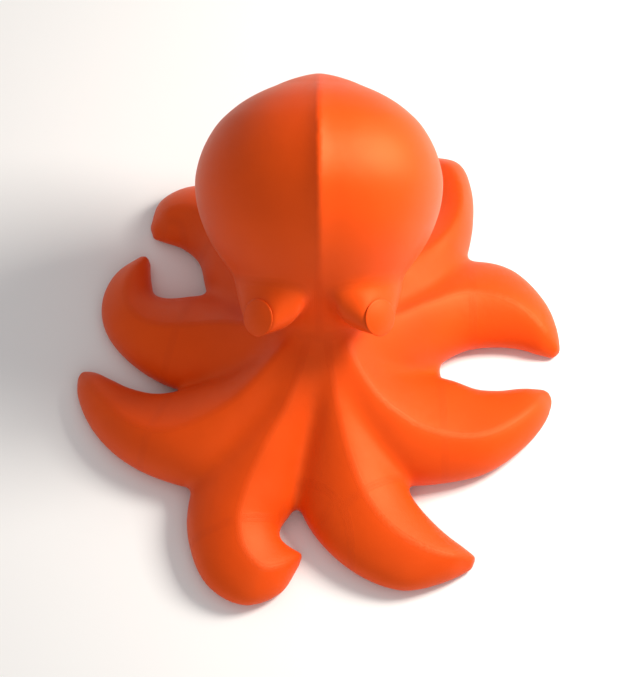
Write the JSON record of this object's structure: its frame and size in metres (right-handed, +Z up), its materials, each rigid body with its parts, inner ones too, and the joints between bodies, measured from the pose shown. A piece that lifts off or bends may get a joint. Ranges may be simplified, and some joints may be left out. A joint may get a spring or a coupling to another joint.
{
  "type": "octopus kite",
  "caption": "Soft inflated octopus-shaped show kite of sewn cloth panels, with a ridged head, disc-ended eyes, flexing curled arms and a netted belly inlet with bridle loops.",
  "frame": {"origin": "on the ground under the middle of the whole kite's outline", "axes": "+Z up with the kite lying on its belly, -Y towards the front where the eyes are, +X to the right in the front view"},
  "size_m": [0.9846, 1.051, 0.6334],
  "materials": {
    "top_cloth": "smooth satin nylon",
    "under_cloth": "smooth satin nylon",
    "rib_cloth": "plain woven nylon",
    "webbing": "ribbed woven webbing",
    "net": "open knitted net"
  },
  "bodies": {
    "root": {"belly_panel": "under_cloth", "bridle_loop_front": "webbing", "bridle_loop_left": "webbing", "bridle_loop_rear": "webbing", "bridle_loop_right": "webbing", "bridle_patch": "webbing", "eye_cone_left": "top_cloth", "eye_cone_right": "top_cloth", "eye_disc_left": "top_cloth", "eye_disc_right": "top_cloth", "head_cross_rib_left": "rib_cloth", "head_cross_rib_right": "rib_cloth", "head_gore_left": "top_cloth", "head_gore_right": "top_cloth", "head_keel_rib": "rib_cloth", "inlet_net": "net", "inlet_wall": "under_cloth", "web_front": "top_cloth", "web_front_left": "top_cloth", "web_front_right": "top_cloth", "web_left": "top_cloth", "web_rear": "top_cloth", "web_rear_left": "top_cloth", "web_rear_right": "top_cloth", "web_right": "top_cloth"},
    "arm_front_left": {"arm_front_left_cuff": "top_cloth", "arm_front_left_skin_left": "top_cloth", "arm_front_left_skin_right": "top_cloth", "arm_front_left_skin_under": "under_cloth"},
    "arm_left": {"arm_left_cuff": "top_cloth", "arm_left_skin_left": "top_cloth", "arm_left_skin_right": "top_cloth", "arm_left_skin_under": "under_cloth"},
    "arm_back_left": {"arm_back_left_cuff": "top_cloth", "arm_back_left_skin_left": "top_cloth", "arm_back_left_skin_right": "top_cloth", "arm_back_left_skin_under": "under_cloth"},
    "arm_rear_left": {"arm_rear_left_cuff": "top_cloth", "arm_rear_left_skin_left": "top_cloth", "arm_rear_left_skin_right": "top_cloth", "arm_rear_left_skin_under": "under_cloth"},
    "arm_rear_right": {"arm_rear_right_cuff": "top_cloth", "arm_rear_right_skin_left": "top_cloth", "arm_rear_right_skin_right": "top_cloth", "arm_rear_right_skin_under": "under_cloth"},
    "arm_back_right": {"arm_back_right_cuff": "top_cloth", "arm_back_right_skin_left": "top_cloth", "arm_back_right_skin_right": "top_cloth", "arm_back_right_skin_under": "under_cloth"},
    "arm_right": {"arm_right_cuff": "top_cloth", "arm_right_skin_left": "top_cloth", "arm_right_skin_right": "top_cloth", "arm_right_skin_under": "under_cloth"},
    "arm_front_right": {"arm_front_right_cuff": "top_cloth", "arm_front_right_skin_left": "top_cloth", "arm_front_right_skin_right": "top_cloth", "arm_front_right_skin_under": "under_cloth"}
  },
  "joints": [
    {"name": "arm_front_left_flex", "type": "hinge", "parent": "root", "child": "arm_front_left", "pos_m": [-0.1667, -0.3906, 0.0415], "axis": [-0.9664, -0.2572, 0], "range_deg": [-15, 20], "stiffness_Nm_per_rad": 0.6, "deforming": ["arm_front_left_cuff"]},
    {"name": "arm_left_flex", "type": "hinge", "parent": "root", "child": "arm_left", "pos_m": [-0.3398, -0.1479, 0.0451], "axis": [0.3933, 0.9194, 0], "range_deg": [-15, 20], "stiffness_Nm_per_rad": 0.6, "deforming": ["arm_left_cuff"]},
    {"name": "arm_back_left_flex", "type": "hinge", "parent": "root", "child": "arm_back_left", "pos_m": [-0.2959, 0.0696, 0.0479], "axis": [0.3231, 0.9464, 0], "range_deg": [-15, 20], "stiffness_Nm_per_rad": 0.6, "deforming": ["arm_back_left_cuff"]},
    {"name": "arm_rear_left_flex", "type": "hinge", "parent": "root", "child": "arm_rear_left", "pos_m": [-0.1841, 0.3063, 0.0465], "axis": [0.8492, 0.528, 0], "range_deg": [-15, 20], "stiffness_Nm_per_rad": 0.6, "deforming": ["arm_rear_left_cuff"]},
    {"name": "arm_rear_right_flex", "type": "hinge", "parent": "root", "child": "arm_rear_right", "pos_m": [0.2366, 0.2931, 0.0472], "axis": [0.8948, -0.4465, 0], "range_deg": [-15, 20], "stiffness_Nm_per_rad": 0.6, "deforming": ["arm_rear_right_cuff"]},
    {"name": "arm_back_right_flex", "type": "hinge", "parent": "root", "child": "arm_back_right", "pos_m": [0.3243, 0.1526, 0.0447], "axis": [0.0175, -0.9998, 0], "range_deg": [-15, 20], "stiffness_Nm_per_rad": 0.6, "deforming": ["arm_back_right_cuff"]},
    {"name": "arm_right_flex", "type": "hinge", "parent": "root", "child": "arm_right", "pos_m": [0.261, -0.1417, 0.0479], "axis": [0.032, -0.9995, 0], "range_deg": [-15, 20], "stiffness_Nm_per_rad": 0.6, "deforming": ["arm_right_cuff"]},
    {"name": "arm_front_right_flex", "type": "hinge", "parent": "root", "child": "arm_front_right", "pos_m": [0.0877, -0.3357, 0.0472], "axis": [-0.8192, -0.5735, 0], "range_deg": [-15, 20], "stiffness_Nm_per_rad": 0.6, "deforming": ["arm_front_right_cuff"]}
  ]
}
